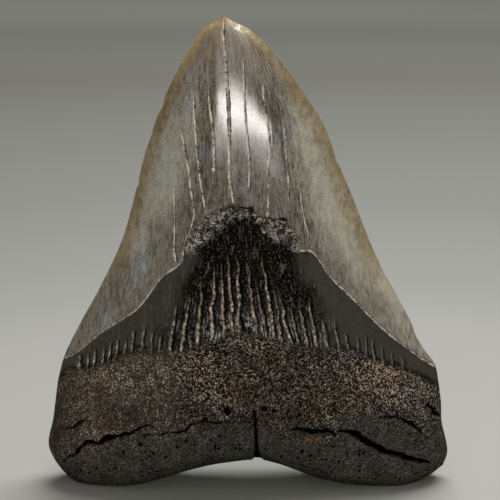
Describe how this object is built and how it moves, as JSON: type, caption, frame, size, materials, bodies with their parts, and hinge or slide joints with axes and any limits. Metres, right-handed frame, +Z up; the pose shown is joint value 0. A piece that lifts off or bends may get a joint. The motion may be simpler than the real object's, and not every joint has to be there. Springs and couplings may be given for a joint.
{
  "type": "megalodon tooth",
  "caption": "Fossil shark tooth: a broad pointed crown with a smooth enamel face, a bare band and a thick lobed root that it stands on.",
  "frame": {"origin": "on the surface that the tooth stands on, under the middle of its box", "axes": "+Z up towards the tip, -Y towards the swollen tongue side, +X to the right when that side faces the viewer"},
  "size_m": [0.114, 0.0286, 0.1312],
  "materials": {
    "fossil_tooth": "polished grey-brown enamel with fine upright cracks, near-black bare band, rough speckled brown-black root"
  },
  "bodies": {
    "root": {"tooth": "fossil_tooth"}
  },
  "joints": []
}
